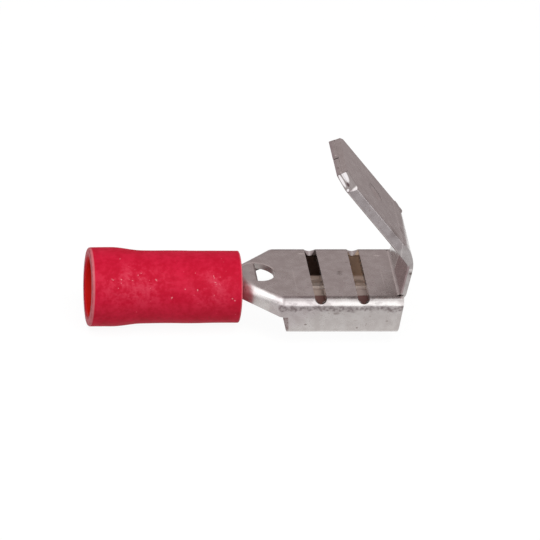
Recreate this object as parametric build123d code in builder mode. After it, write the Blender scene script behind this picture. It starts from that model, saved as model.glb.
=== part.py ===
"""Insulated piggyback spade terminal: a folded sheet terminal in a moulded sleeve.

The frame is that of the wire: X runs along the wire barrel, from the mouth of the sleeve (X = 0) to the
front, Z is up, towards the closed side of the socket, and Y is the width. All lengths are millimetres.
"""

from math import asin, atan, atan2, copysign, cos, degrees, hypot, radians, sin, tan
import os

from build123d import *

# Sheet stock
sheet = 0.4  # thickness of the tinned brass sheet

# Wire barrel, on the X axis
barrel_bore = 1.7
barrel_start = 5.0
barrel_length = 5.0
barrel_seam = 0.06  # width of the butt seam along the underside
barrel_cutback = 0.6  # how far the underside is cut back where the barrel opens out

# Transition from the barrel to the socket, an open channel that widens
transition_length = 2.95
plan_round = 0.3  # length over which the channel's sides turn into the socket's walls
plan_steps = 3
flange_foot = -0.25  # height of the flanges' lower edge where they reach the socket
relief_width = 2.36  # D-shaped relief hole with its straight side towards the wire
relief_length = 1.3
relief_start = 1.45  # from the end of the barrel to the straight side

# Socket that slides on to a mating tab
socket_length = 7.81
socket_width = 7.4
floor_top = 1.08  # height of the floor's upper face above the barrel axis
bend_inner_radius = 0.25  # where the floor turns down into a side wall
socket_bottom = -1.72  # lowest point of the rolled arms
roll_radius = 0.8  # outside radius of the rolled arms
arm_gap = 0.16  # gap between the free edges of the two arms
tab_gap = 0.75  # height left for the mating tab under the floor
wall_reach = 0.47  # how far the side walls stand out in front of the neck's crease, at the floor
wall_front_lean = 0.33  # how far a wall's front edge leans out from foot to top
wall_rear_lean = 0.4  # how far a wall's rear edge leans in from top to foot
wall_corner = 0.25  # rounding at the foot of the front and rear edges
slot_width = 0.8
slot_start = 2.57  # from the rear of the socket to the middle of the first slot
slot_spacing = 2.94
slot_wrap = 32.0  # degrees that a slot runs down each side bend before its round end
catch_start = 4.25  # from the rear of the socket to the catch dimple
catch_radius = 0.28
catch_depth = 0.08  # pressed into the floor, and standing out as far below it

# Neck, a single sheet that rises from the front of the floor
neck_width = 6.05
neck_height = 2.97  # floor to the sharp corner where the outer faces of neck and tab would meet
neck_lean = 9.3  # degrees outwards from vertical
neck_foot_radius = 0.26  # inside radius of the bend at the floor
neck_top_radius = 2.3  # inside radius of the bend into the tab
neck_relief = 0.1  # gap between the neck's foot and the side bends
strip_lap = 0.04  # the neck's strip runs on past its bend, to where the tab's -Y edge is folded

# Male tab, the sheet folded double
tab_width = 6.35
tab_length = 8.2  # from the sharp corner to the tip
tab_angle = 51.3  # degrees above the floor, leaning back over it
tab_corner_right = 0.97  # the cut corner on the -Y side
tab_corner_left = 0.7  # the cut corner on the +Y side
tab_bevel = 0.2  # how far the outer face is set back from the inner one at the bevelled tip
tab_fold_left = 0.45  # where the folded edge on the +Y side starts, from the sharp corner
tab_edge_right = 0.17  # rounding of the folded edge on the -Y side, pressed nearly square
tab_edge_left = 0.38  # and of the one on the +Y side
tab_seam = 0.08  # gap between the two folded wings, on the face towards the floor
tab_split = 0.06  # height of the line between the two layers at the tip
tab_split_depth = 0.08
dimple_radius = 0.8
dimple_depth = 0.2
dimple_from_tip = 3.9

# Insulating sleeve
sleeve_length = 10.3
sleeve_diameter = 5.0
sleeve_front_diameter = 4.94
flare_diameter = 5.42
flare_length = 1.95
flare_taper = 1.4  # length over which the flare dies into the sleeve
pocket_diameter = 3.95  # takes the wire's insulation
pocket_depth = 4.0
funnel_length = 0.75  # leads the strands into the barrel
seat_clearance = 0.02  # between the barrel and the sleeve round it
front_lead = 0.4  # opened mouth at the front, where the barrel widens
front_lead_diameter = 3.3
rim_round = 0.22
pocket_round = 0.12

# Places that follow from the sizes above
barrel_radius = barrel_bore / 2 + sheet
barrel_end = barrel_start + barrel_length
socket_start = barrel_end + transition_length
socket_end = socket_start + socket_length
half_width = socket_width / 2
bend_radius = bend_inner_radius + sheet
bend_y = half_width - bend_radius
bend_z = floor_top - bend_radius
tab_thickness = 2 * sheet
lean = radians(neck_lean)
rise = radians(tab_angle)
foot_turn = radians(90 - neck_lean)
top_turn = radians(90 + neck_lean - tab_angle)

# Directions in the plane of symmetry: up the neck, out of it, along the tab and out of its face
neck_up = Vector(sin(lean), 0, cos(lean))
neck_out = Vector(cos(lean), 0, -sin(lean))
tab_along = Vector(-cos(rise), 0, sin(rise))
tab_out = Vector(sin(rise), 0, cos(rise))

# Sharp corners of the outer faces, below the neck and above it, and where the top bend ends on the tab
neck_foot = Vector(socket_end + (neck_foot_radius + sheet) * tan(foot_turn / 2), 0, floor_top - sheet)
neck_corner = neck_foot + neck_up * ((neck_height + sheet) / cos(lean))
bend_end = (neck_top_radius + sheet) * tan(top_turn / 2)
strip_end = bend_end + strip_lap
tab_plane = Plane(origin=neck_corner, x_dir=tab_along, z_dir=tab_out)


def side_view(point):
    """A point of the plane of symmetry as X and Z, for a sketch seen from the side."""
    return point.X, point.Z


def socket_path(inset):
    """Half of the socket's section, and the ends of it: mid-floor and an arm's free edge."""
    roll_y = half_width - roll_radius
    roll_z = socket_bottom + roll_radius
    across = roll_y - arm_gap / 2
    up = floor_top - sheet - tab_gap - sheet - roll_z
    slope = atan2(up, across) + asin(roll_radius / hypot(across, up))
    normal = Vector(sin(slope), cos(slope))
    tangent = Vector(roll_y, roll_z) - normal * (roll_radius - inset)
    edge = Vector(arm_gap / 2, roll_z + up) + normal * inset
    middle = Vector(0, floor_top - inset)
    Line(middle, (bend_y, floor_top - inset))
    CenterArc((bend_y, bend_z), bend_radius - inset, 90, -90)
    Line((half_width - inset, bend_z), (half_width - inset, roll_z))
    CenterArc((roll_y, roll_z), roll_radius - inset, 0, -90 - degrees(slope))
    Line(tangent, edge)
    return middle, edge


def channel_path(half, top, radius, foot):
    """One face of an open channel, closed side up, and its two feet."""
    feet = (-half, foot), (half, foot)
    FilletPolyline(feet[0], (-half, top), (half, top), feet[1], radius=radius)
    return feet


def strip_path(inset):
    """One face of the strip from the floor up the neck and over into the tab, and its two ends."""
    foot = neck_foot + Vector(-inset * tan(foot_turn / 2), 0, inset)
    corner = neck_corner - neck_out * inset - neck_up * (inset * tan(top_turn / 2))
    start = Vector(socket_end - tab_thickness, 0, foot.Z)
    end = neck_corner + tab_along * strip_end - tab_out * inset
    radii = (neck_foot_radius + sheet - inset, neck_top_radius + sheet - inset)
    FilletPolyline(*(side_view(point) for point in (start, foot, corner, end)), radius=radii)
    return side_view(start), side_view(end)


def tip_path():
    """Outline that bounds the tab at its tip and cut corners, and lies outside it elsewhere."""
    reach = tab_width / 2
    right = tab_width / 2 - tab_corner_right
    left = tab_width / 2 - tab_corner_left
    return Polyline(
        (-reach, right + reach),
        (tab_length - reach, right + reach),
        (tab_length, right),
        (tab_length, -left),
        (tab_length - reach, -left - reach),
        (-reach, -left - reach),
        close=True,
    )


def beyond_wall(head, foot, away):
    """Region beyond the leaning edge of a side wall, seen from the side, with the foot rounded."""
    side = copysign(wall_corner + sheet, away)
    FilletPolyline(head, foot, (foot[0] - side, foot[1]), radius=wall_corner)
    lowest = foot[1] - sheet
    Polyline(
        (foot[0] - side, foot[1]),
        (foot[0] - side, lowest),
        (head[0] + away, lowest),
        (head[0] + away, head[1]),
        head,
    )


# One slot through the floor, wrapped on to the side bends with round ends
with BuildPart() as slot_cutter:
    with BuildSketch(Plane.XY.offset(floor_top + sheet / 2)):
        Rectangle(slot_width, 2 * bend_y)
    extrude(amount=-1.75 * sheet)
    for side in (1, -1):
        with BuildSketch(Plane.XZ.offset(-side * bend_y)):
            with Locations((0, floor_top - sheet / 2)):
                Rectangle(slot_width, 1.5 * sheet)
        revolve(axis=Axis((0, side * bend_y, bend_z), (-side, 0, 0)), revolution_arc=slot_wrap)
        tilt = radians(slot_wrap)
        outward = Vector(0, side * sin(tilt), cos(tilt))
        near = bend_inner_radius / 2
        with BuildSketch(Plane(Vector(0, side * bend_y, bend_z) + outward * near, (1, 0, 0), outward)):
            Circle(slot_width / 2 * near / bend_radius)
        extrude(amount=bend_radius, taper=-degrees(atan(slot_width / 2 / bend_radius)))

# Space inside the bevels of the tab's tip and cut corners, which goes past both faces of the tab
with BuildPart() as tip_space:
    bevel_slope = tab_bevel / tab_thickness
    with BuildSketch(tab_plane.offset(sheet)):
        with BuildLine():
            tip_path()
        make_face()
        offset(amount=-bevel_slope * (tab_thickness + sheet), kind=Kind.INTERSECTION)
    extrude(amount=-tab_thickness - 2 * sheet, taper=-degrees(atan(bevel_slope)))

# Blade of the male tab: two layers with folded long edges, a seam and a bevelled tip
with BuildPart() as tab_blade:
    with BuildSketch(tab_plane):
        with Locations(((bend_end + tab_length) / 2, (tab_edge_left - tab_edge_right) / 2)):
            Rectangle(tab_length - bend_end, tab_width - tab_edge_left - tab_edge_right)
    extrude(amount=-tab_thickness)
    right_edge = (-1, strip_end, tab_edge_right)
    left_edge = (1, tab_fold_left, tab_edge_left)
    for side, fold_start, radius in (right_edge, left_edge):
        with BuildSketch(Plane(neck_corner + tab_along * fold_start, (0, 1, 0), tab_along)):
            with Locations((side * (tab_width / 2 - sheet), sheet)):
                RectangleRounded(2 * sheet, tab_thickness, radius)
        extrude(amount=tab_length - fold_start)

    # The lower layer runs on under the bend, down to the neck
    opening = rise - lean
    reach_down = (tab_thickness * sin(opening) - sheet / 2) / cos(opening)
    layer_foot = neck_corner - tab_along * reach_down - tab_out * tab_thickness
    layer_top = neck_corner + tab_along * bend_end
    with BuildSketch(Plane.XZ):
        with BuildLine():
            Polyline(
                side_view(layer_foot),
                side_view(layer_top - tab_out * tab_thickness),
                side_view(layer_top - tab_out * (sheet / 2)),
                close=True,
            )
        make_face()
    extrude(amount=neck_width / 2, both=True)
    add(tip_space.part, mode=Mode.INTERSECT)

    with BuildSketch(tab_plane.offset(-tab_thickness)):
        with Locations(((tab_length - reach_down) / 2, 0)):
            Rectangle(tab_length + reach_down, tab_seam)
    extrude(amount=sheet, mode=Mode.SUBTRACT)
    with BuildSketch(tab_plane.offset(-sheet)):
        with BuildLine():
            tip_path()
        make_face()
        offset(amount=-tab_bevel / 2 - tab_split_depth, kind=Kind.INTERSECTION, mode=Mode.SUBTRACT)
    extrude(amount=tab_split / 2, both=True, mode=Mode.SUBTRACT)
    dimple_ball = (dimple_radius**2 + dimple_depth**2) / (2 * dimple_depth)
    with Locations(tab_plane.offset(dimple_ball - dimple_depth)):
        with Locations((tab_length - dimple_from_tip, 0)):
            Sphere(dimple_ball, mode=Mode.SUBTRACT)

# Terminal: barrel, transition, socket, neck and tab, all one folded sheet
with BuildPart() as terminal:
    with BuildSketch(Plane.YZ.offset(barrel_start)):
        Circle(barrel_radius)
        Circle(barrel_bore / 2, mode=Mode.SUBTRACT)
    extrude(amount=barrel_length)
    with BuildSketch(Plane.XY):
        with Locations((barrel_start + barrel_length / 2, 0)):
            Rectangle(barrel_length, barrel_seam)
    extrude(amount=-2 * barrel_radius, mode=Mode.SUBTRACT)
    with BuildSketch(Plane.XZ):
        with BuildLine():
            Polyline(
                (barrel_end - barrel_cutback, -barrel_radius),
                (barrel_end, 0),
                (barrel_end + sheet, 0),
                (barrel_end + sheet, -barrel_radius - sheet),
                (barrel_end - barrel_cutback, -barrel_radius - sheet),
                close=True,
            )
        make_face()
    extrude(amount=2 * barrel_radius, both=True, mode=Mode.SUBTRACT)

    # Channel that widens from the barrel to the socket, with its relief hole
    barrel_section = (barrel_radius, barrel_radius, barrel_radius - sheet / 40, 0)
    socket_section = (half_width, floor_top, bend_radius, flange_foot)
    straight = transition_length - plan_round
    stations = [0] + [straight + plan_round * step / plan_steps for step in range(plan_steps + 1)]
    for station in stations:
        turned = max(0, station - straight)
        share = (station - turned**2 / (2 * plan_round)) / (transition_length - plan_round / 2)
        half, top, radius, foot = (a + share * (b - a) for a, b in zip(barrel_section, socket_section))
        with BuildSketch(Plane.YZ.offset(barrel_end + station)):
            with BuildLine():
                outer = channel_path(half, top, radius, foot)
                inner = channel_path(half - sheet, top - sheet, radius - sheet, foot)
                Line(outer[0], inner[0])
                Line(outer[1], inner[1])
            make_face()
    loft(ruled=True)
    relief_x = barrel_end + relief_start
    relief_turn = relief_x + relief_length - relief_width / 2
    with BuildSketch(Plane.XY):
        with BuildLine():
            Polyline(
                (relief_turn, relief_width / 2),
                (relief_x, relief_width / 2),
                (relief_x, -relief_width / 2),
                (relief_turn, -relief_width / 2),
            )
            CenterArc((relief_turn, 0), relief_width / 2, -90, 180)
        make_face()
    extrude(amount=2 * barrel_radius, mode=Mode.SUBTRACT)

    # Socket, with leaning front and rear edges on its walls
    with BuildSketch(Plane.YZ.offset(socket_start)):
        with BuildLine():
            outer_start, outer_end = socket_path(0)
            inner_start, inner_end = socket_path(sheet)
            Line(outer_start, inner_start)
            Line(outer_end, inner_end)
        make_face()
        mirror(about=Plane.YZ)
    extrude(amount=socket_length + wall_reach)
    wall_front = socket_end + wall_reach
    with BuildSketch(Plane.XZ):
        with BuildLine():
            beyond_wall((wall_front, floor_top), (wall_front - wall_front_lean, socket_bottom), sheet)
        make_face()
        with BuildLine():
            beyond_wall((socket_start, flange_foot), (socket_start + wall_rear_lean, socket_bottom), -sheet)
        make_face()
    extrude(amount=socket_width, both=True, mode=Mode.SUBTRACT)
    with Locations((socket_start + slot_start, 0), (socket_start + slot_start + slot_spacing, 0)):
        add(slot_cutter.part, mode=Mode.SUBTRACT)
    with Locations((socket_start + catch_start, 0, floor_top - catch_depth / 2)):
        Cone(catch_radius / 2, catch_radius, catch_depth, mode=Mode.SUBTRACT)
    with Locations((socket_start + catch_start, 0, floor_top - sheet - catch_depth / 2)):
        Cone(catch_radius / 2, catch_radius, catch_depth)

    # Neck and tab
    with BuildSketch(Plane.XY.offset(floor_top)):
        with Locations((socket_end + wall_reach, 0)):
            Rectangle(2 * wall_reach, neck_width + 2 * neck_relief)
    extrude(amount=-sheet - tab_gap / 2, mode=Mode.SUBTRACT)
    with BuildSketch(Plane.XZ):
        with BuildLine():
            outer = strip_path(0)
            inner = strip_path(sheet)
            Line(outer[0], inner[0])
            Line(outer[1], inner[1])
        make_face()
    extrude(amount=neck_width / 2, both=True)
    add(tab_blade.part)

# Insulating sleeve, a turned form about the wire's axis
with BuildPart() as insulating_sleeve:
    seat_radius = barrel_radius + seat_clearance
    with BuildSketch(Plane.XY):
        with BuildLine():
            Polyline(
                (0, flare_diameter / 2),
                (flare_length, flare_diameter / 2),
                (flare_length + flare_taper, sleeve_diameter / 2),
                (sleeve_length, sleeve_front_diameter / 2),
                (sleeve_length, front_lead_diameter / 2),
                (sleeve_length - front_lead, seat_radius),
                (barrel_start, seat_radius),
                (barrel_start, barrel_bore / 2),
                (pocket_depth + funnel_length, barrel_bore / 2),
                (pocket_depth, pocket_diameter / 2),
                (0, pocket_diameter / 2),
                close=True,
            )
        make_face()
    revolve(axis=Axis.X)
    mouth = insulating_sleeve.faces().sort_by(Axis.X)[0]
    front = insulating_sleeve.faces().sort_by(Axis.X)[-1]
    fillet(mouth.edges().sort_by(SortBy.LENGTH)[-1], radius=rim_round)
    fillet(front.edges().sort_by(SortBy.LENGTH)[-1], radius=rim_round)
    mouth = insulating_sleeve.faces().filter_by(GeomType.PLANE).sort_by(Axis.X)[0]
    fillet(mouth.edges().sort_by(SortBy.LENGTH)[0], radius=pocket_round)

# Each piece by its own name
os.makedirs("parts", exist_ok=True)
terminal.part.label = "terminal"
export_step(terminal.part, "parts/terminal.step")
insulating_sleeve.part.label = "insulating_sleeve"
export_step(insulating_sleeve.part, "parts/insulating_sleeve.step")
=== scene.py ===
"""Looks of the insulated piggyback spade terminal: tinned sheet metal in a red moulded sleeve.

Sizes are in millimetres and are scaled to metres when a piece is finished. X runs along the wire barrel from
the mouth of the sleeve to the front, Y is the width and Z is up.
"""

from math import asin, atan2, cos, hypot, pi, radians, sin, tan

import bmesh
import bpy
from mathutils import Matrix, Vector, noise


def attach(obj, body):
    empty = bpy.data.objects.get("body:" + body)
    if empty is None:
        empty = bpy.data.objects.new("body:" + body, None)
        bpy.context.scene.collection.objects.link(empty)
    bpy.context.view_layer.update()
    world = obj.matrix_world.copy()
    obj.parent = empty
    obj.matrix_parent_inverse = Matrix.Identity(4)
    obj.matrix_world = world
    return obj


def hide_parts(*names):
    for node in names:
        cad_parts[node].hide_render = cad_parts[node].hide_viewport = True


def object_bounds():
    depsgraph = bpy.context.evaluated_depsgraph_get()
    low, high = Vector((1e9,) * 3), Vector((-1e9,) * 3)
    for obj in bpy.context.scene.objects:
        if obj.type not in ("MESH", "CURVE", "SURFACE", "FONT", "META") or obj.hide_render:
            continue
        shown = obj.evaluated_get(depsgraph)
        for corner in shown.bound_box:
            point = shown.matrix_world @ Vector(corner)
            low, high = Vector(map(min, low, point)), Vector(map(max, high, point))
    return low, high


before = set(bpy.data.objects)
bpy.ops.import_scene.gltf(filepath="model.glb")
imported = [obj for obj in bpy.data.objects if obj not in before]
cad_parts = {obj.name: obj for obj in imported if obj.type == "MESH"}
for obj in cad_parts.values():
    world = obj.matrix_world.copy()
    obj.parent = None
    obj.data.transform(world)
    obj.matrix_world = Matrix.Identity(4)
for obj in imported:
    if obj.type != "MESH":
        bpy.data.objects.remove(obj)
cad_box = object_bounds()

MM = 0.001

# Sheet metal of the terminal
sheet = 0.4
barrel_end = 10.0
barrel_radius = 1.25
relief_start = 11.45  # straight side of the relief hole, towards the wire
relief_length = 1.3
relief_radius = 1.18
socket_start = 12.95
socket_end = 20.76
wall_reach = 0.47  # how far the side walls stand out in front of the floor
wall_rear_lean = 0.4  # how far a wall's rear edge leans in from top to foot
half_width = 3.7
floor_top = 1.08
bend_radius = 0.65
roll_radius = 0.8
socket_bottom = -1.72
flange_foot = -0.25  # lower edge of the channel's sides where they reach the socket
rear_slot = 15.52
front_slot = 18.46
tab_gap = 0.75  # room for the mating tab under the floor
arm_gap = 0.16  # gap between the free edges of the two rolled arms
neck_lean = 9.3
neck_height = 2.97
neck_foot_radius = 0.26
neck_top_radius = 2.3
tab_width = 6.35
tab_length = 8.2
tab_angle = 51.3
tab_corner = 0.97  # the cut corner on the -Y side
corner_bevel = 0.28  # how much further in that cut lies at the outer face
tab_edge_right = 0.17  # rounding of the folded edge on the -Y side
tab_edge_left = 0.38  # and of the one on the +Y side
tip_press = 1.4  # length over which the tab's two layers are pressed together
layer_gap = 0.035  # points nearer than this to the line between the layers are drawn on to it
cut_edge = 0.035  # rounding of the sheared edges

# Insulating sleeve
sleeve_length = 10.3
sleeve_radius = 2.5
sleeve_front_radius = 2.47
flare_radius = 2.71
flare_length = 1.95
flare_taper = 1.4
flare_ease = 0.35  # how much earlier the soft taper starts, and how much later it ends
pocket_radius = 1.975
pocket_depth = 4.0
funnel_length = 0.75
barrel_bore_radius = 0.85
barrel_start = 5.0
seat_radius = 1.27
front_lead = 0.4
front_lead_radius = 1.65
mouth_round = 0.16
front_round = 0.06
pocket_round = 0.12

# Fineness of the meshes
merge_gap = 1e-3
cut_gap = 1e-5
flat_turn = 0.4  # degrees that two faces may turn and still become one
bend_steps = 15
top_bend_steps = 16
edge_steps = 6
sleeve_steps = 144
sleeve_cut = 0.12  # spacing of the sleeve's rings along its length

# Places that follow from the sizes above
relief_turn = relief_start + relief_length - relief_radius
bend_y = half_width - bend_radius
bend_z = floor_top - bend_radius
roll_y = half_width - roll_radius
roll_z = socket_bottom + roll_radius
arm_rise = floor_top - sheet - tab_gap - sheet - roll_z
arm_across = roll_y - arm_gap / 2
arm_slope = atan2(arm_rise, arm_across) + asin(roll_radius / hypot(arm_across, arm_rise))
lean = radians(neck_lean)
rise = radians(tab_angle)
foot_turn = pi / 2 - lean
top_turn = pi / 2 + lean - rise
neck_up = Vector((sin(lean), 0, cos(lean)))
neck_out = Vector((cos(lean), 0, -sin(lean)))
tab_along = Vector((-cos(rise), 0, sin(rise)))
tab_out = Vector((sin(rise), 0, cos(rise)))
neck_foot = Vector((socket_end + (neck_foot_radius + sheet) * tan(foot_turn / 2), 0, floor_top - sheet))
neck_corner = neck_foot + neck_up * ((neck_height + sheet) / cos(lean))
top_bend_reach = (neck_top_radius + sheet) * tan(top_turn / 2)
top_bend_centre = neck_corner + tab_along * top_bend_reach - tab_out * (neck_top_radius + sheet)
half_tab = tab_width / 2
cut_line = half_tab - tab_corner  # where the cut corner on the -Y side meets the tip
floor_height = -flare_radius


class Value:
    """One output of a node; Python's operators on it add Math nodes."""

    def __init__(self, nodes, socket):
        self.nodes = nodes
        self.socket = socket

    def math(self, operation, *values):
        return self.nodes.add("Math", {"operation": operation}, dict(enumerate(values)))

    def __add__(self, other):
        return self.math("ADD", self, other)

    def __radd__(self, other):
        return self.math("ADD", other, self)

    def __sub__(self, other):
        return self.math("SUBTRACT", self, other)

    def __rsub__(self, other):
        return self.math("SUBTRACT", other, self)

    def __mul__(self, other):
        return self.math("MULTIPLY", self, other)

    def __rmul__(self, other):
        return self.math("MULTIPLY", other, self)

    def __pow__(self, other):
        return self.math("POWER", self, other)

    def __neg__(self):
        return self.math("SUBTRACT", 0, self)

    def __abs__(self):
        return self.math("ABSOLUTE", self)

    def most(self, other):
        return self.math("MAXIMUM", self, other)


class Nodes:
    """The nodes of one material or of the world."""

    def __init__(self, owner):
        owner.use_nodes = True
        self.owner = owner
        self.tree = owner.node_tree
        self.tree.nodes.clear()

    def add(self, kind, settings=None, inputs=None, output=0):
        """One output of a new node, whose inputs are values or the outputs of other nodes."""
        node = self.tree.nodes.new("ShaderNode" + kind)
        for name, value in (settings or {}).items():
            setattr(node, name, value)
        for name, value in (inputs or {}).items():
            if isinstance(value, Value):
                self.tree.links.new(value.socket, node.inputs[name])
            else:
                node.inputs[name].default_value = value
        return Value(self, node.outputs[output])

    def blend(self, share, low, high):
        """A colour between two others."""
        return self.add("Mix", {"data_type": "RGBA"}, {0: share, 6: low, 7: high}, 2)

    def tint(self, share, colour, factor):
        """A colour multiplied by another where the share is 1."""
        settings = {"data_type": "RGBA", "blend_type": "MULTIPLY"}
        return self.add("Mix", settings, {0: share, 6: colour, 7: factor}, 2)

    def ramp(self, value, low, high):
        """0 below the low value, 1 above the high one, and smooth between them."""
        settings = {"interpolation_type": "SMOOTHSTEP"}
        return self.add("MapRange", settings, {0: value, 1: low, 2: high, 3: 0.0, 4: 1.0})

    def band(self, value, low, high, soft):
        """1 between the two values, 0 outside them, with soft limits."""
        return self.ramp(value, low - soft, low + soft) * (1 - self.ramp(value, high - soft, high + soft))

    def grain(self, place, size, detail=2.0, roughness=0.5, stretch=(1.0, 1.0, 1.0)):
        """Noise with grains of about the given size in millimetres."""
        scaled = self.add("VectorMath", {"operation": "MULTIPLY"}, {0: place, 1: stretch})
        inputs = {"Vector": scaled, "Scale": 1 / size, "Detail": detail, "Roughness": roughness}
        return self.add("TexNoise", {"noise_dimensions": "3D"}, inputs)

    def minus(self, place, centre):
        """A place as counted from another one."""
        return self.add("VectorMath", {"operation": "SUBTRACT"}, {0: place, 1: tuple(centre)})

    def along(self, vector, direction):
        """How far a vector reaches in a direction."""
        return self.add("VectorMath", {"operation": "DOT_PRODUCT"}, {0: vector, 1: tuple(direction)}, 1)

    def spot(self, place, centre, reach, soft=0.5):
        """1 in the middle of an oval spot, 0 outside it."""
        away = self.minus(place, centre)
        shrunk = self.add("VectorMath", {"operation": "DIVIDE"}, {0: away, 1: reach})
        distance = self.add("VectorMath", {"operation": "LENGTH"}, {0: shrunk}, 1)
        return 1 - self.ramp(distance, 1 - soft, 1.0)

    def place(self):
        """Object coordinates in millimetres."""
        metres = self.add("TexCoord", output=3)
        return self.add("VectorMath", {"operation": "SCALE"}, {0: metres, 3: 1 / MM})

    def split(self, vector):
        """The three parts of a vector."""
        parts = self.tree.nodes.new("ShaderNodeSeparateXYZ")
        self.tree.links.new(vector.socket, parts.inputs[0])
        return [Value(self, socket) for socket in parts.outputs]

    def seen(self):
        """1 for the rays that show the white background, 0 for those that only light the object."""
        kinds = ("Is Camera Ray", "Is Glossy Ray", "Is Transmission Ray")
        camera, glossy, transmission = [self.add("LightPath", output=kind) for kind in kinds]
        return camera.most(glossy).most(transmission)

    def finish(self, shader, kind="OutputMaterial"):
        """Links a shader to the output, and returns the material or world."""
        out = self.tree.nodes.new("ShaderNode" + kind)
        self.tree.links.new(shader.socket, out.inputs["Surface"])
        return self.owner


def on_tab(up, across, deep=0.0):
    """A place on the tab: up from the sharp corner, across to +Y and below the outer face."""
    return tuple(neck_corner + tab_along * up + Vector((0, across, 0)) - tab_out * deep)


# Small marks on the metal: place, reach and strength. Among them are painted shade, painted glints and
# painted highlights, noted below
dark_marks_and_shade = (
    ((18.08, -half_width, -1.09), (0.10, 0.1, 0.07), 0.9),
    ((14.54, -half_width, -0.81), (0.13, 0.1, 0.07), 0.7),
    ((20.1, -half_width, -0.55), (0.12, 0.1, 0.08), 0.4),
    ((16.6, -half_width, 0.05), (0.28, 0.1, 0.12), 0.45),
    ((17.2, 0.14, floor_top), (0.22, 0.22, 0.2), 0.45),
    # painted shade on one side of the tab's dimple
    (on_tab(4.13, -0.2), (0.26, 0.55, 0.32), 0.7),
    (on_tab(2.6, -2.9), (0.6, 0.45, 0.75), 0.35),
    (on_tab(1.4, -1.2), (0.4, 0.5, 0.5), 0.3),
    (on_tab(tab_length, -1.28, 0.58), (0.10, 0.16, 0.10), 0.8),
    ((21.60, -3.02, 2.78), (0.18, 0.14, 0.11), 0.9),
    ((20.98, -3.1, 1.13), (0.16, 0.2, 0.1), 0.8),
)
light_marks_and_glints = (
    # painted glints along the start of the far side bend
    ((14.85, 2.62, floor_top), (0.30, 0.07, 0.1), 0.9),
    ((15.6, 2.95, floor_top), (0.35, 0.08, 0.1), 0.8),
    ((18.55, 2.95, floor_top), (0.35, 0.08, 0.1), 0.8),
    ((20.0, 2.35, floor_top), (0.30, 0.07, 0.1), 0.9),
    ((20.3, -2.8, floor_top), (0.09, 0.09, 0.1), 0.7),
    ((14.0, -0.6, floor_top), (0.05, 2.2, 0.1), 0.22),
    ((20.05, -0.6, floor_top), (0.05, 1.6, 0.1), 0.25),
    # painted highlight on the other side of the tab's dimple
    (on_tab(4.57, 0.12), (0.16, 0.34, 0.2), 0.8),
    # painted glints on the tab's tip end
    (on_tab(tab_length, 0.42, 0.54), (0.12, 0.14, 0.12), 1.0),
    (on_tab(tab_length, -2.0, 0.46), (0.12, 0.28, 0.12), 1.0),
    # painted highlight on the neck's near edge where it bends into the tab
    ((21.58, -3.02, 3.06), (0.18, 0.14, 0.14), 1.0),
)

# Painted highlights on the tab's cut corner: place and reach, in shares of its length and thickness
cut_highlight_spots = (
    ((0.22, 0.40, 0), (0.52, 0.24, 1)),
    ((0.38, 0.82, 0), (0.44, 0.13, 1)),
    ((0.95, 0.80, 0), (0.08, 0.13, 1)),
)

# Larger crumbs of dust on the sleeve: place, radius and strength
dust = (
    ((8.44, -2.0, 1.48), 0.10, 1.0),
    ((8.36, -1.74, 1.78), 0.08, 0.5),
    ((7.2, -2.27, 1.03), 0.09, 0.8),
    ((7.06, -1.51, 1.98), 0.07, 0.5),
    ((6.32, -2.23, 1.11), 0.07, 0.4),
    ((5.44, -2.43, 0.54), 0.08, 0.6),
    ((4.37, -1.89, 1.63), 0.10, 0.6),
    ((3.35, -1.58, 1.98), 0.07, 0.6),
    ((3.11, -1.66, 1.92), 0.08, 0.6),
    ((2.74, -1.95, 1.66), 0.09, 0.4),
    ((1.99, -2.04, 1.74), 0.08, 0.5),
    ((1.36, -2.04, 1.76), 0.10, 0.5),
    ((1.95, -0.68, 2.62), 0.08, 0.6),
    ((9.62, -2.42, 0.50), 0.08, 0.5),
    ((9.78, -2.45, 0.36), 0.07, 0.5),
)


# Tinned brass
def on_wall(nodes, y):
    """1 on the outer faces of the side walls."""
    return nodes.ramp(abs(y), half_width - 0.2, half_width - 0.08)


def smudge_and_shade_strip(nodes, place):
    """1 on a ragged strip of the walls, just under the side bends: smudges, and partly a painted dark
    reflection.
    """
    y, z = nodes.split(place)[1:]
    ragged = z + 0.7 * (nodes.grain(place, 0.7, 3.0, 0.65) - 0.5)
    return on_wall(nodes, y) * nodes.band(ragged, bend_z - 0.2, bend_z + 0.15, 0.08)


def side_bends(nodes, place, colour):
    """Darker patches along the side bends, painted grey shade where they begin, a painted highlight along
    each bend, and painted shade on its upper part.
    """
    x, y, z = nodes.split(place)
    along_bend = nodes.ramp(abs(y), bend_y - 0.1, bend_y + 0.2) * nodes.ramp(z, bend_z + 0.05, bend_z + 0.2)
    along_bend = along_bend * (1 - nodes.ramp(z, floor_top + 0.02, floor_top + 0.08))
    patches_and_crease_shade = nodes.ramp(nodes.grain(place, 0.45, 2.0, 0.6, (0.5, 1.0, 1.0)), 0.50, 0.62)
    # painted grey shade at the socket's rear edge, where the bends begin
    patches_and_crease_shade = patches_and_crease_shade.most(nodes.band(x, socket_start - 0.05, socket_start + 0.12, 0.08))
    colour = nodes.tint(0.55 * along_bend * patches_and_crease_shade, colour, (0.66, 0.63, 0.64, 1))
    in_socket = nodes.ramp(x, socket_start, socket_start + 0.1)
    # painted highlight along the bend
    painted_highlight_band = in_socket * along_bend * nodes.band(z, bend_z + 0.18, bend_z + 0.40, 0.08)
    colour = nodes.blend(0.4 * painted_highlight_band * (1 - 0.8 * patches_and_crease_shade), colour, (0.88, 0.86, 0.85, 1))
    # painted shade on the upper part of the bend
    painted_shade_above = in_socket * along_bend * nodes.ramp(z, bend_z + 0.42, bend_z + 0.52)
    return nodes.tint(0.7 * painted_shade_above, colour, (0.62, 0.60, 0.60, 1))


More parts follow.
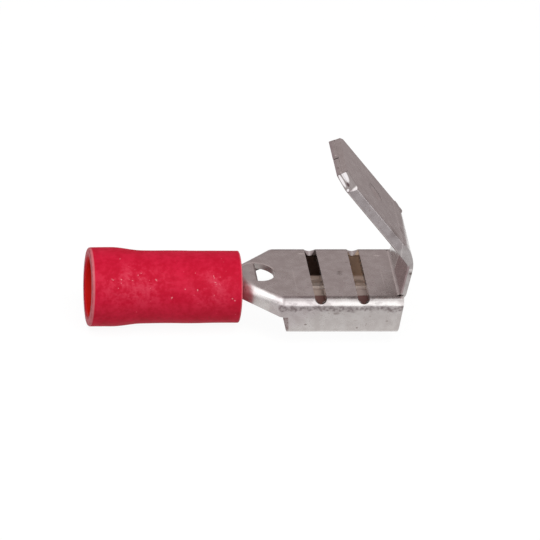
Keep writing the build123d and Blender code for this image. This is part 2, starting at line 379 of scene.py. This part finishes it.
def channel_highlights(nodes, place, colour):
    """A painted highlight along the corners of the channel between the barrel and the socket."""
    x, y, z = nodes.split(place)
    widening = (half_width - barrel_radius) / (socket_start - barrel_end)
    channel = nodes.ramp(x, barrel_end + 0.3, barrel_end + 0.8)
    channel = channel * (1 - nodes.ramp(x, socket_start - 0.15, socket_start))
    channel_side = barrel_radius + (x - barrel_end) * widening
    channel_highlight = channel * nodes.band(abs(y) - channel_side, -0.46, -0.06, 0.06) * nodes.ramp(z, 0.3, 0.5)
    # painted highlight on the channel's corners
    return nodes.blend(0.85 * channel_highlight, colour, (0.94, 0.92, 0.91, 1))


def wall_stain(nodes, place):
    """1 along the rear edges of the walls."""
    x, y, z = nodes.split(place)
    slant = wall_rear_lean / (flange_foot - socket_bottom)
    from_edge = x - socket_start + slant * (z - flange_foot)
    stain_width = 0.36 + 0.17 * (z - flange_foot)
    low_wall = on_wall(nodes, y) * nodes.ramp(flange_foot - z, -0.05, 0.1)
    return low_wall * (1 - nodes.ramp(from_edge - stain_width, -0.06, 0.06))


def small_marks(nodes, place, colour):
    """Pits all over, and the dark and light marks listed above, among them painted glints, highlights and
    shade.
    """
    pits = nodes.ramp(nodes.grain(place, 0.3, 2.0), 0.64, 0.76)
    colour = nodes.tint(0.6 * pits, colour, (0.66, 0.60, 0.58, 1))
    for centre, reach, share in dark_marks_and_shade:
        colour = nodes.tint(share * nodes.spot(place, centre, reach), colour, (0.35, 0.28, 0.26, 1))
    for centre, reach, share in light_marks_and_glints:
        colour = nodes.blend(share * nodes.spot(place, centre, reach), colour, (1.0, 0.98, 0.96, 1))
    return colour


def from_tab(nodes, place):
    """How far a place is up the tab from its sharp corner, and how far below its outer face."""
    from_corner = nodes.minus(place, neck_corner)
    return nodes.along(from_corner, tab_along), -nodes.along(from_corner, tab_out)


def cut_corner(nodes, place, colour):
    """The tab's cut corner: painted highlights in a few spots, painted shade over the rest, and dark between
    them where the two layers part.
    """
    y = nodes.split(place)[1]
    up_tab, below = from_tab(nodes, place)
    down_cut = tab_length - up_tab
    along_cut = (1 / tab_corner) * down_cut
    through = (0.5 / sheet) * below
    over_cut = corner_bevel * (1 - through) - y - down_cut - cut_line
    on_cut = nodes.ramp(over_cut, -0.10, -0.05) * nodes.ramp(up_tab, tab_length - 1.1, tab_length - 1.0)
    cut_place = nodes.add("CombineXYZ", None, {0: along_cut, 1: through, 2: 0.0})
    cut_highlight = nodes.spot(cut_place, *cut_highlight_spots[0], 0.4)
    for centre, reach in cut_highlight_spots[1:]:
        cut_highlight = cut_highlight.most(nodes.spot(cut_place, centre, reach, 0.4))
    parted = nodes.spot(cut_place, (0.73, 0.57, 0), (0.16, 0.12, 1))
    # painted shade over the cut face outside the highlights
    colour = nodes.tint(on_cut * (1 - cut_highlight), colour, (0.36, 0.33, 0.33, 1))
    colour = nodes.tint(on_cut * parted, colour, (0.4, 0.32, 0.34, 1))
    # painted highlights on the cut face
    return nodes.blend(on_cut * cut_highlight, colour, (0.64, 0.62, 0.63, 1))


def tab_edges(nodes, place, colour):
    """The tab's long edges, slightly dull, and its tip with a faint line on the far half."""
    y = nodes.split(place)[1]
    up_tab, below = from_tab(nodes, place)
    long_edge = nodes.ramp(abs(y), half_tab - 0.125, half_tab - 0.055) * nodes.ramp(up_tab, 0.6, 1.6)
    colour = nodes.tint(long_edge, colour, (0.93, 0.90, 0.92, 1))
    on_end = nodes.ramp(up_tab, tab_length - 0.05, tab_length - 0.02)
    colour = nodes.tint(on_end, colour, (0.94, 0.90, 0.93, 1))
    seam = nodes.band(below, sheet - 0.02, sheet + 0.02, 0.01) * nodes.ramp(y, 0.9, 1.3)
    seam = seam * nodes.ramp(up_tab + (y - cut_line).most(0.0), tab_length - 0.05, tab_length - 0.03)
    return nodes.tint(0.8 * seam, colour, (0.4, 0.36, 0.36, 1))


def neck_face(nodes, place, colour):
    """The neck's inner face: a painted dark reflection on the near side of a fine line, with a painted
    highlight along the bend at its foot.
    """
    x, y, z = nodes.split(place)
    line_start = 0.42
    line_slope = 0.13
    inner = neck_corner - neck_out * sheet
    depth = nodes.along(place, neck_out) - inner.dot(neck_out)
    face = nodes.band(depth, -0.1, 0.12, 0.05) * nodes.band(z, floor_top + 0.12, neck_corner.z - 0.7, 0.12)
    beside = y - line_start + line_slope * (z - floor_top)
    # painted dark reflection on the near side of the line
    colour = nodes.tint(face * nodes.ramp(-beside, 0.0, 0.2), colour, (0.74, 0.60, 0.62, 1))
    line = face * nodes.band(beside, -0.05, 0.05, 0.05)
    # painted highlight along the bend at the neck's foot
    foot_highlight = nodes.band(x, socket_end + 0.05, socket_end + 0.12, 0.03)
    foot_highlight = foot_highlight * nodes.ramp(z, floor_top - 0.03, floor_top)
    return nodes.blend((0.9 * line).most(0.5 * foot_highlight), colour, (1.0, 0.96, 0.94, 1))


def socket_shade_and_light(nodes, place):
    """Colours inside the socket: a brown tone, painted light on the far arm, painted shade on the near arm
    and by the far wall, and painted shade on the walls, darker towards the rear.
    """
    x, y, z = nodes.split(place)
    rear = 1 - nodes.ramp(x, rear_slot + 0.78, front_slot - 0.26)
    walls = nodes.ramp(abs(y), 2.75, 3.1) * nodes.ramp(z, socket_bottom + 0.60, socket_bottom + 0.75)
    arms = nodes.blend(rear, (0.80, 0.66, 0.62, 1), (0.72, 0.58, 0.51, 1))
    # painted light on the far arm, where light falls through the slots
    arms = nodes.blend(nodes.ramp(y, 0.1, 0.3), arms, (1.3, 1.15, 1.05, 1))
    # painted shade on the near arm
    arms = nodes.tint(nodes.ramp(-y, 0.62, 0.70), arms, (0.42, 0.27, 0.27, 1))
    # painted shade by the far wall
    arms = nodes.tint(nodes.ramp(y, 2.6, 2.85), arms, (0.66, 0.61, 0.58, 1))
    # painted shade on the walls, nearly black towards the rear
    return nodes.blend(walls, arms, nodes.blend(rear, (0.62, 0.46, 0.34, 1), (0.035, 0.013, 0.006, 1)))


def relief_hole(nodes, place, colour):
    """The relief hole's walls, a painted highlight on its far rim and a dark straight side; also returns 1
    where the walls are.
    """
    x, y = nodes.split(place)[:2]
    from_hole = ((x - relief_turn) ** 2 + y ** 2) ** 0.5
    hole = 1 - nodes.ramp(from_hole, relief_radius + 0.02, relief_radius + 0.05)
    hole = hole * nodes.ramp(x, relief_start - 0.07, relief_start - 0.03)
    colour = nodes.tint(hole, colour, (0.78, 0.75, 0.74, 1))
    far_rim_highlight = nodes.band(from_hole, relief_radius + 0.02, relief_radius + 0.13, 0.03)
    far_rim_highlight = far_rim_highlight * nodes.ramp(y, 0.35, 0.75)
    # painted highlight on the hole's far rim
    colour = nodes.blend(0.7 * far_rim_highlight, colour, (1.0, 0.97, 0.94, 1))
    straight_side = nodes.band(x, relief_start - 0.1, relief_start, 0.02)
    straight_side = straight_side * (1 - nodes.ramp(abs(y), relief_radius - 0.08, relief_radius))
    return nodes.tint(straight_side, colour, (0.58, 0.54, 0.54, 1)), hole


def tinned_brass():
    """Tin-plated sheet brass: grey outside with painted highlights on its bends and channel, brown with
    painted shade inside the socket, and with wear and marks.
    """
    nodes = Nodes(bpy.data.materials.new("tinned_brass"))
    place = nodes.place()
    patches = nodes.grain(place, 1.6, 3.0)
    mottle = nodes.grain(place, 0.6, 3.0, 0.55)
    streaks = nodes.grain(place, 0.2, 2.0, 0.5, (0.12, 1.0, 0.35))
    speckle = nodes.ramp(nodes.grain(place, 0.22, 3.0, 0.7), 0.40, 0.62)
    colour = nodes.blend(nodes.ramp(mottle, 0.3, 0.7), (0.60, 0.57, 0.56, 1), (0.70, 0.68, 0.67, 1))

    # Wear, marks, and painted highlights and shade from the barrel to the tab's tip
    strip = smudge_and_shade_strip(nodes, place)
    # Smudges, and a painted dark reflection under the side bends
    colour = nodes.tint(strip * (0.25 + 0.75 * speckle), colour, (0.46, 0.41, 0.42, 1))
    colour = side_bends(nodes, place, colour)
    colour = channel_highlights(nodes, place, colour)
    stain = wall_stain(nodes, place)
    colour = nodes.tint(stain * (0.45 + 0.5 * speckle), colour, (0.34, 0.24, 0.23, 1))
    colour = small_marks(nodes, place, colour)
    colour = cut_corner(nodes, place, colour)
    colour = tab_edges(nodes, place, colour)
    colour = neck_face(nodes, place, colour)
    # Painted shade and painted light inside the socket
    inside = nodes.add("Attribute", {"attribute_name": "inside"}, output=2)
    colour = nodes.tint(inside, colour, socket_shade_and_light(nodes, place))
    colour, hole = relief_hole(nodes, place, colour)

    # Dull where it is worn, stained or near the sleeve
    x = nodes.split(place)[0]
    dull = nodes.ramp(mottle + 0.4 * (streaks - 0.5), 0.35, 0.7)
    near_sleeve = 1 - nodes.ramp(x, sleeve_length, sleeve_length + 1.1)
    roughness = 0.2 + 0.08 * dull + 0.06 * nodes.ramp(patches, 0.4, 0.65)
    roughness = roughness + 0.2 * strip + 0.12 * inside + 0.25 * hole + 0.22 * near_sleeve
    height = 0.016 * patches + 0.003 * mottle + 0.0009 * streaks
    return nodes.finish(nodes.add("BsdfPrincipled", None, {
        "Base Color": colour,
        "Metallic": 1 - 0.7 * inside,
        "Roughness": roughness,
        "Normal": nodes.add("Bump", None, {"Strength": 1.0, "Distance": MM, "Height": height}),
    }))


# Red vinyl
def dusted(nodes, place, colour, unevenness):
    """Pale dust, thickest in two patches on the near side, with fine specks and larger crumbs."""
    dusty = nodes.spot(place, (2.9, -2.1, 1.4), (3.6, 2.0, 2.2), 0.9)
    dusty = dusty.most(nodes.spot(place, (8.3, -2.1, 1.2), (2.4, 1.8, 2.0), 0.9))
    haze = dusty * nodes.ramp(unevenness, 0.45, 0.65)
    colour = nodes.blend(0.16 * haze, colour, (0.82, 0.22, 0.30, 1))
    specks = 0.55 * nodes.ramp(nodes.grain(place, 0.15, 1.0, 0.4) + 0.08 * dusty, 0.80, 0.90)
    wander = nodes.add("TexNoise", None, {"Vector": place, "Scale": 7.0, "Detail": 1.0}, 1)
    moved = {0: wander, 1: (0.3, 0.3, 0.3), 2: place}
    wander = nodes.minus(nodes.add("VectorMath", {"operation": "MULTIPLY_ADD"}, moved), (0.15, 0.15, 0.15))
    for centre, size, share in dust:
        specks = specks.most(0.75 * share * nodes.spot(wander, centre, (size, size, size), 0.8))
    return nodes.blend(specks, colour, (0.92, 0.55, 0.60, 1))


def pale_rims_and_pocket_light(nodes, place, colour, mottle):
    """The paler rims at the mouth and the front, partly scuffs and partly painted light at the mouth, a
    painted sheen on the mouth's outer edge, and the pocket behind the mouth painted a brighter red against
    its shade.
    """
    x, y, z = nodes.split(place)
    radius = (y ** 2 + z ** 2) ** 0.5
    rim = 1 - nodes.ramp(x, 0.0, mouth_round)
    rim = rim * nodes.ramp(radius, pocket_radius + 0.1, pocket_radius + 0.35)
    # scuffs, and partly painted light on the face of the mouth
    scuff_and_light = 0.2 + 0.25 * nodes.ramp(mottle, 0.35, 0.65)
    colour = nodes.blend(scuff_and_light * rim, colour, (0.80, 0.36, 0.38, 1))
    # painted sheen along the mouth's outer edge
    mouth_edge_sheen = nodes.band(x, 0.03, 0.17, 0.03)
    mouth_edge_sheen = mouth_edge_sheen * nodes.ramp(radius, flare_radius - 0.13, flare_radius - 0.06)
    colour = nodes.blend(0.3 * mouth_edge_sheen, colour, (0.84, 0.40, 0.44, 1))
    front = nodes.ramp(x, sleeve_length - 0.11, sleeve_length - 0.05)
    front = front * nodes.ramp(radius, sleeve_front_radius - 0.17, sleeve_front_radius - 0.02)
    colour = nodes.blend(0.4 * front, colour, (0.78, 0.32, 0.36, 1))
    # painted light: a brighter red inside the pocket, against its shade
    pocket = 1 - nodes.ramp(radius, pocket_radius, pocket_radius + 0.12)
    pocket = pocket * (1 - nodes.ramp(x, pocket_depth + 0.2, pocket_depth + 0.8))
    return nodes.blend(pocket, colour, (0.80, 0.016, 0.012, 1))


def red_vinyl():
    """Red moulded vinyl, a little uneven and dusty."""
    nodes = Nodes(bpy.data.materials.new("red_vinyl"))
    place = nodes.place()
    clouds = nodes.grain(place, 1.3, 3.0)
    mottle = nodes.grain(place, 0.3, 4.0, 0.65)
    peel = nodes.grain(place, 0.12, 2.0)
    unevenness = 0.5 * clouds + 0.5 * mottle
    deep = (0.53, 0.005, 0.028, 1)
    bright = (0.63, 0.012, 0.046, 1)
    colour = nodes.blend(nodes.ramp(unevenness, 0.38, 0.62), deep, bright)
    colour = dusted(nodes, place, colour, unevenness)
    colour = pale_rims_and_pocket_light(nodes, place, colour, mottle)
    height = 0.008 * clouds + 0.005 * mottle + 0.003 * peel
    return nodes.finish(nodes.add("BsdfPrincipled", None, {
        "Base Color": colour,
        "Roughness": 0.45 + 0.16 * mottle,
        "IOR": 1.45,
        "Specular IOR Level": 0.08,
        "Normal": nodes.add("Bump", None, {"Strength": 1.0, "Distance": MM, "Height": height}),
    }))


# Pieces
def finish_piece(mesh, name, material):
    """An object at the origin from a bmesh in millimetres."""
    bmesh.ops.scale(mesh, vec=(MM, MM, MM), verts=mesh.verts)
    data = bpy.data.meshes.new(name)
    mesh.to_mesh(data)
    mesh.free()
    data.materials.append(material)
    piece = bpy.data.objects.new(name, data)
    bpy.context.scene.collection.objects.link(piece)
    return piece


def shade_smooth(mesh, sharpest):
    """Smooth shading, broken at the edges that turn by more than an angle in degrees."""
    for edge in mesh.edges:
        edge.smooth = edge.calc_face_angle(0) < radians(sharpest)
    for face in mesh.faces:
        face.smooth = True


def round_bend(mesh, centre, axis, start, turn, radii, steps, reach):
    """Cuts a bend of the sheet into even steps and puts its faces on their true radii."""
    innermost = min(radii) - 0.05
    outermost = max(radii) + 0.01
    turn_slack = 0.001
    radius_slack = 0.012
    side = axis.cross(start)

    def polar(point):
        """Distance from the axis, turn from the start and place along the axis."""
        away = point - centre
        angle = atan2(away.dot(side), away.dot(start))
        if angle < -0.3 * pi:
            angle += 2 * pi
        return hypot(away.dot(side), away.dot(start)), angle, away.dot(axis)

    def faces_in_bend():
        faces = []
        for face in mesh.faces:
            radius, angle, along = polar(face.calc_center_median())
            turned = -turn_slack < angle < turn + turn_slack
            if innermost < radius < outermost and turned and reach[0] < along < reach[1]:
                faces.append(face)
        return faces

    for step in range(steps + 1):
        faces = faces_in_bend()
        corners = dict.fromkeys(vertex for face in faces for vertex in face.verts)
        sides = dict.fromkeys(edge for face in faces for edge in face.edges)
        angle = turn * step / steps
        across = side * cos(angle) - start * sin(angle)
        geometry = [*corners, *sides, *faces]
        bmesh.ops.bisect_plane(mesh, geom=geometry, dist=cut_gap, plane_co=centre, plane_no=across)
    for vertex in dict.fromkeys(vertex for face in faces_in_bend() for vertex in face.verts):
        radius = polar(vertex.co)[0]
        true = min(radii, key=lambda value: abs(value - radius))
        if abs(true - radius) < radius_slack:
            away = vertex.co - centre
            along = axis * away.dot(axis)
            vertex.co = centre + along + (away - along) * (true / radius)


def round_walls(mesh, side):
    """Rounds the bend from the floor into a wall, and the one that rolls the arm in under it."""
    axis = Vector((-side, 0, 0))
    ends = (socket_start + 0.01, socket_end + wall_reach + 0.01)
    reach = sorted(-side * end for end in ends)
    up = Vector((0, 0, 1))
    outward = Vector((0, side, 0))
    bend = Vector((0, side * bend_y, bend_z))
    round_bend(mesh, bend, axis, up, pi / 2, (bend_radius, bend_radius - sheet), bend_steps, reach)
    roll = Vector((0, side * roll_y, roll_z))
    turn = pi / 2 + arm_slope
    round_bend(mesh, roll, axis, outward, turn, (roll_radius, roll_radius - sheet), bend_steps, reach)


def round_tab_edge(mesh, side):
    """Rounds the two corners of a long edge of the tab, where the sheet is folded back."""
    radius = tab_edge_left if side > 0 else tab_edge_right
    outward = Vector((0, side, 0))
    edge = neck_corner + outward * (half_tab - radius)
    reach = (-2 * tab_length, 2 * tab_length)
    for level, start, finish in ((radius, tab_out, outward), (2 * sheet - radius, outward, -tab_out)):
        axis = start.cross(finish)
        round_bend(mesh, edge - tab_out * level, axis, start, pi / 2, (radius,), edge_steps, reach)


def round_top_bend(mesh):
    """Rounds the bend from the neck into the tab."""
    axis = Vector((0, -1, 0))
    radii = (neck_top_radius + sheet, neck_top_radius)
    reach = (-half_width, half_width)
    round_bend(mesh, top_bend_centre, axis, neck_out, top_turn, radii, top_bend_steps, reach)


def break_edges(mesh):
    """Rounds the long sheared edges a little, one run of joined edges at a time."""
    shortest = 0.3
    bluntest = radians(50)
    waiting = {}
    for edge in mesh.edges:
        if edge.is_manifold and edge.is_convex and edge.calc_length() > shortest:
            if edge.calc_face_angle(0) > bluntest:
                waiting[edge] = True
    runs = []
    while waiting:
        run = [waiting.popitem()[0]]
        for edge in run:
            for other in (other for vertex in edge.verts for other in vertex.link_edges):
                if waiting.pop(other, False):
                    run.append(other)
        runs.append(run)
    for run in sorted(runs, key=len):
        bmesh.ops.bevel(
            mesh,
            geom=[edge for edge in run if edge.is_valid],
            offset=cut_edge,
            segments=2,
            profile=0.5,
            affect="EDGES",
            clamp_overlap=True,
            material=-1,
        )


def mark_inside(mesh):
    """An attribute that is 1 on the faces that look into the socket, and 0 elsewhere."""
    tunnel_y = 1.9  # middle of the room under the floor, on either side
    tunnel_z = -0.25
    inside = mesh.faces.layers.float.new("inside")
    for face in mesh.faces:
        middle = face.calc_center_median()
        tunnel = Vector((middle.x, tunnel_y if middle.y > 0 else -tunnel_y, tunnel_z))
        within = socket_start < middle.x < socket_end - 0.3 and middle.z < floor_top - sheet / 4
        looks_in = face.normal.dot(tunnel - middle) > 0.02
        free_edge = abs(middle.y) < arm_gap / 2 + sheet / 2 and abs(face.normal.y) > 0.5
        face[inside] = 1.0 if within and (looks_in or free_edge) else 0.0


def press_tip(mesh):
    """Closes the line between the two layers of the tab at its tip, and leaves the mesh closed."""

    def near_line(vertex, margin):
        away = vertex.co - neck_corner
        at_end = away.dot(tab_along) > tab_length - tip_press
        return at_end and abs(away.dot(tab_out) + sheet) < margin

    at_tip = [vertex for vertex in mesh.verts if near_line(vertex, layer_gap)]
    for vertex in at_tip:
        vertex.co -= tab_out * ((vertex.co - neck_corner).dot(tab_out) + sheet)
    bmesh.ops.remove_doubles(mesh, verts=at_tip, dist=merge_gap)
    between = [face for face in mesh.faces if all(near_line(vertex, merge_gap) for vertex in face.verts)]
    bmesh.ops.delete(mesh, geom=between, context="FACES")
    open_edges = [edge for edge in mesh.edges if edge.is_boundary]
    bmesh.ops.holes_fill(mesh, edges=open_edges, sides=0)
    bmesh.ops.recalc_face_normals(mesh, faces=mesh.faces)


def keep_in_box(mesh):
    """Moves what stands out of the CAD box by a hair back on to it."""
    for vertex in mesh.verts:
        for axis in range(3):
            low, high = (corner[axis] / MM for corner in cad_box)
            vertex.co[axis] = min(max(vertex.co[axis], low), high)


def terminal_sheet(material):
    """The folded sheet: the CAD surface, with finely rounded bends and broken edges."""
    mesh = bmesh.new()
    mesh.from_mesh(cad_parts["terminal"].data)
    bmesh.ops.scale(mesh, vec=(1 / MM, 1 / MM, 1 / MM), verts=mesh.verts)
    bmesh.ops.remove_doubles(mesh, verts=mesh.verts, dist=merge_gap)
    press_tip(mesh)
    bmesh.ops.dissolve_limit(mesh, angle_limit=radians(flat_turn), verts=mesh.verts, edges=mesh.edges)
    for side in (1, -1):
        round_walls(mesh, side)
        round_tab_edge(mesh, side)
    round_top_bend(mesh)
    break_edges(mesh)
    bmesh.ops.remove_doubles(mesh, verts=mesh.verts, dist=merge_gap)
    mark_inside(mesh)
    keep_in_box(mesh)
    shade_smooth(mesh, sharpest=30)
    piece = finish_piece(mesh, "terminal_sheet", material)
    normals = piece.modifiers.new("flat_faces", "WEIGHTED_NORMAL")
    normals.keep_sharp = True
    return piece


def swell_sleeve(mesh):
    """Makes the outside of the sleeve a little uneven, inwards only."""
    depth = 0.03
    wave_length = 2.2
    wave_width = 2.5
    for vertex in mesh.verts:
        out = hypot(vertex.co.y, vertex.co.z)
        if out > pocket_radius + 0.2:
            x, y, z = vertex.co
            swell = noise.noise(Vector((x / wave_length, y / wave_width, z / wave_width)))
            shrink = 1 - depth * min(max(0.5 + swell, 0.0), 1.0) / out
            vertex.co.y *= shrink
            vertex.co.z *= shrink


def sleeve_skin(material):
    """The moulded sleeve, turned about the wire's axis and a little uneven."""

    def rounding(along, out, radius, first):
        """A rounded corner of the outline, about its centre."""
        steps = [radians(first + 90 * step / edge_steps) for step in range(edge_steps + 1)]
        return [(along + radius * cos(turn), out + radius * sin(turn)) for turn in steps]

    def flare_point(share):
        """A point of the flare's soft taper, which starts and ends a little outside the sharp one."""
        smooth = share * share * (3 - 2 * share)
        along = flare_length - flare_ease + share * (flare_taper + 2 * flare_ease)
        return along, flare_radius + smooth * (sleeve_radius - flare_radius)

    outline = (
        *reversed(rounding(mouth_round, flare_radius - mouth_round, mouth_round, 90)),
        *(flare_point(step / 10) for step in range(11)),
        *reversed(rounding(sleeve_length - front_round, sleeve_front_radius - front_round, front_round, 0)),
        (sleeve_length, front_lead_radius),
        (sleeve_length - front_lead, seat_radius),
        (barrel_start, seat_radius),
        (barrel_start, barrel_bore_radius),
        (pocket_depth + funnel_length, barrel_bore_radius),
        (pocket_depth, pocket_radius),
        (pocket_round, pocket_radius),
        (0, pocket_radius + pocket_round),
    )
    mesh = bmesh.new()
    corners = [mesh.verts.new((along, 0, out)) for along, out in outline]
    ring = [mesh.edges.new((corners[i - 1], corners[i])) for i in range(1, len(corners))]
    ring.append(mesh.edges.new((corners[-1], corners[0])))
    long_runs = [edge for edge in ring if edge.calc_length() > 0.5]
    for edge in long_runs:
        cuts = int(edge.calc_length() / sleeve_cut)
        bmesh.ops.subdivide_edges(mesh, edges=[edge], cuts=cuts)
    profile = [*mesh.verts, *mesh.edges]
    bmesh.ops.spin(
        mesh,
        geom=profile,
        axis=(1, 0, 0),
        cent=(0, 0, 0),
        angle=2 * pi,
        steps=sleeve_steps,
        use_merge=True,
    )
    bmesh.ops.remove_doubles(mesh, verts=mesh.verts, dist=merge_gap)
    swell_sleeve(mesh)
    bmesh.ops.recalc_face_normals(mesh, faces=mesh.faces)
    shade_smooth(mesh, sharpest=35)
    return finish_piece(mesh, "sleeve_skin", material)


# Studio
aim = Vector((12.266, -0.852, 1.816))  # the camera and the lamp look at this point


def softbox(name, direction, distance, size, level):
    """A rectangular lamp that faces the object, as bright as white paper at level 1."""
    light = bpy.data.lights.new(name, "AREA")
    light.shape = "RECTANGLE"
    light.size = size[0] * MM
    light.size_y = size[1] * MM
    light.energy = level * pi * light.size * light.size_y
    lamp = bpy.data.objects.new(name, light)
    lamp.visible_glossy = False
    towards = Vector(direction).normalized()
    lamp.location = (aim + towards * distance) * MM
    lamp.rotation_mode = "QUATERNION"
    lamp.rotation_quaternion = towards.to_track_quat("Z", "Y")
    bpy.context.scene.collection.objects.link(lamp)


def board(name, low, high, along, colours, limits):
    """A board that only reflections show, with a colour that changes along one of its sides."""
    start = Vector(low)
    end = Vector(high)
    width, height = [axis for axis in range(3) if start[axis] != end[axis]]
    corners = [start.copy() for corner in range(4)]
    for number in (1, 2):
        corners[number][width] = end[width]
    for number in (2, 3):
        corners[number][height] = end[height]
    mesh = bmesh.new()
    mesh.faces.new([mesh.verts.new(corner) for corner in corners])
    nodes = Nodes(bpy.data.materials.new(name))
    reach = nodes.split(nodes.place())["xyz".index(along)]
    colour = nodes.blend(nodes.ramp(reach, *limits), *colours)
    glow = nodes.finish(nodes.add("Emission", None, {"Color": colour, "Strength": 1.0}))
    card = finish_piece(mesh, name, glow)
    card.visible_camera = False
    card.visible_diffuse = False
    card.visible_shadow = False


def paper_floor():
    """White paper that keeps a little of the object's shadow."""
    mesh = bmesh.new()
    bmesh.ops.create_grid(mesh, x_segments=1, y_segments=1, size=2500)
    bmesh.ops.translate(mesh, vec=(0, 0, floor_height), verts=mesh.verts)
    nodes = Nodes(bpy.data.materials.new("paper"))
    paper = nodes.add("BsdfDiffuse", None, {"Color": (0.6, 0.6, 0.6, 1)})
    glow = nodes.add("Emission", None, {"Color": (1, 1, 1, 1), "Strength": 1.1})
    mixed = nodes.add("MixShader", None, {0: 0.85 * nodes.seen(), 1: paper, 2: glow})
    finish_piece(mesh, "paper_floor", nodes.finish(mixed))


def white_surround(level):
    """A world that looks white, and lights the object at the given level."""
    nodes = Nodes(bpy.data.worlds.new("surround"))
    seen = nodes.seen()
    strength = seen + level * (1 - seen)
    background = nodes.add("Background", None, {"Color": (1, 1, 1, 1), "Strength": strength})
    bpy.context.scene.world = nodes.finish(background, "OutputWorld")


def photo_camera():
    """The camera at the photograph's angle, far away behind a long lens."""
    azimuth = radians(-8.84)
    elevation = radians(29.87)
    roll = radians(4.40)
    field_width = 36.672
    data = bpy.data.cameras.new("photo_camera")
    data.lens = 1200.0
    data.sensor_width = 36.0
    camera = bpy.data.objects.new("photo_camera", data)
    back = Vector((sin(azimuth) * cos(elevation), -cos(azimuth) * cos(elevation), sin(elevation)))
    distance = field_width * data.lens / data.sensor_width
    turn = (-back).to_track_quat("-Z", "Y").to_matrix().to_4x4() @ Matrix.Rotation(roll, 4, "Z")
    camera.matrix_world = Matrix.Translation((aim + back * distance) * MM) @ turn
    bpy.context.scene.collection.objects.link(camera)
    bpy.context.scene.camera = camera


photo_camera()
paper_floor()
white_surround(0.37)
softbox("key_light", direction=(0, -0.5, 0.87), distance=160, size=(130, 130), level=3.95)

# Boards round the object, each with its two colours and the places where one turns into the other
left = -90
right = 110
far_left = -150
far_right = 170
front = -70
back = 18
top = 70
under = floor_height + 0.02
white = (1.4, 1.38, 1.38, 1)
back_greys = ((0.36, 0.31, 0.31, 1), (0.425, 0.36, 0.358, 1))
board("back_board", (left, back, floor_height), (right, back, top), "z", back_greys, (2, 9))
under_greys = ((0.50, 0.475, 0.48, 1), (0.74, 0.71, 0.70, 1))
board("front_board", (left, front, under), (right, -3.2, under), "y", under_greys, (-14, -6))
horizon = ((0.22, 0.20, 0.20, 1), white)
board("front_card", (far_left, front, floor_height), (far_right, front, top), "z", horizon, (1, 9))
side_greys = ((0.36, 0.33, 0.33, 1), (0.5, 0.47, 0.47, 1))
board("side_board", (right, front, floor_height), (right, back, top), "z", side_greys, (20, 60))
ceiling = (white, (0.4, 0.35, 0.35, 1))
board("top_card", (far_left, front, top), (far_right, back, top), "y", ceiling, (-4, 18))

terminal = terminal_sheet(tinned_brass())
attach(terminal, "root")
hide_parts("terminal")

sleeve = sleeve_skin(red_vinyl())
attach(sleeve, "root")
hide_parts("insulating_sleeve")

bpy.context.scene.view_settings.view_transform = "Standard"
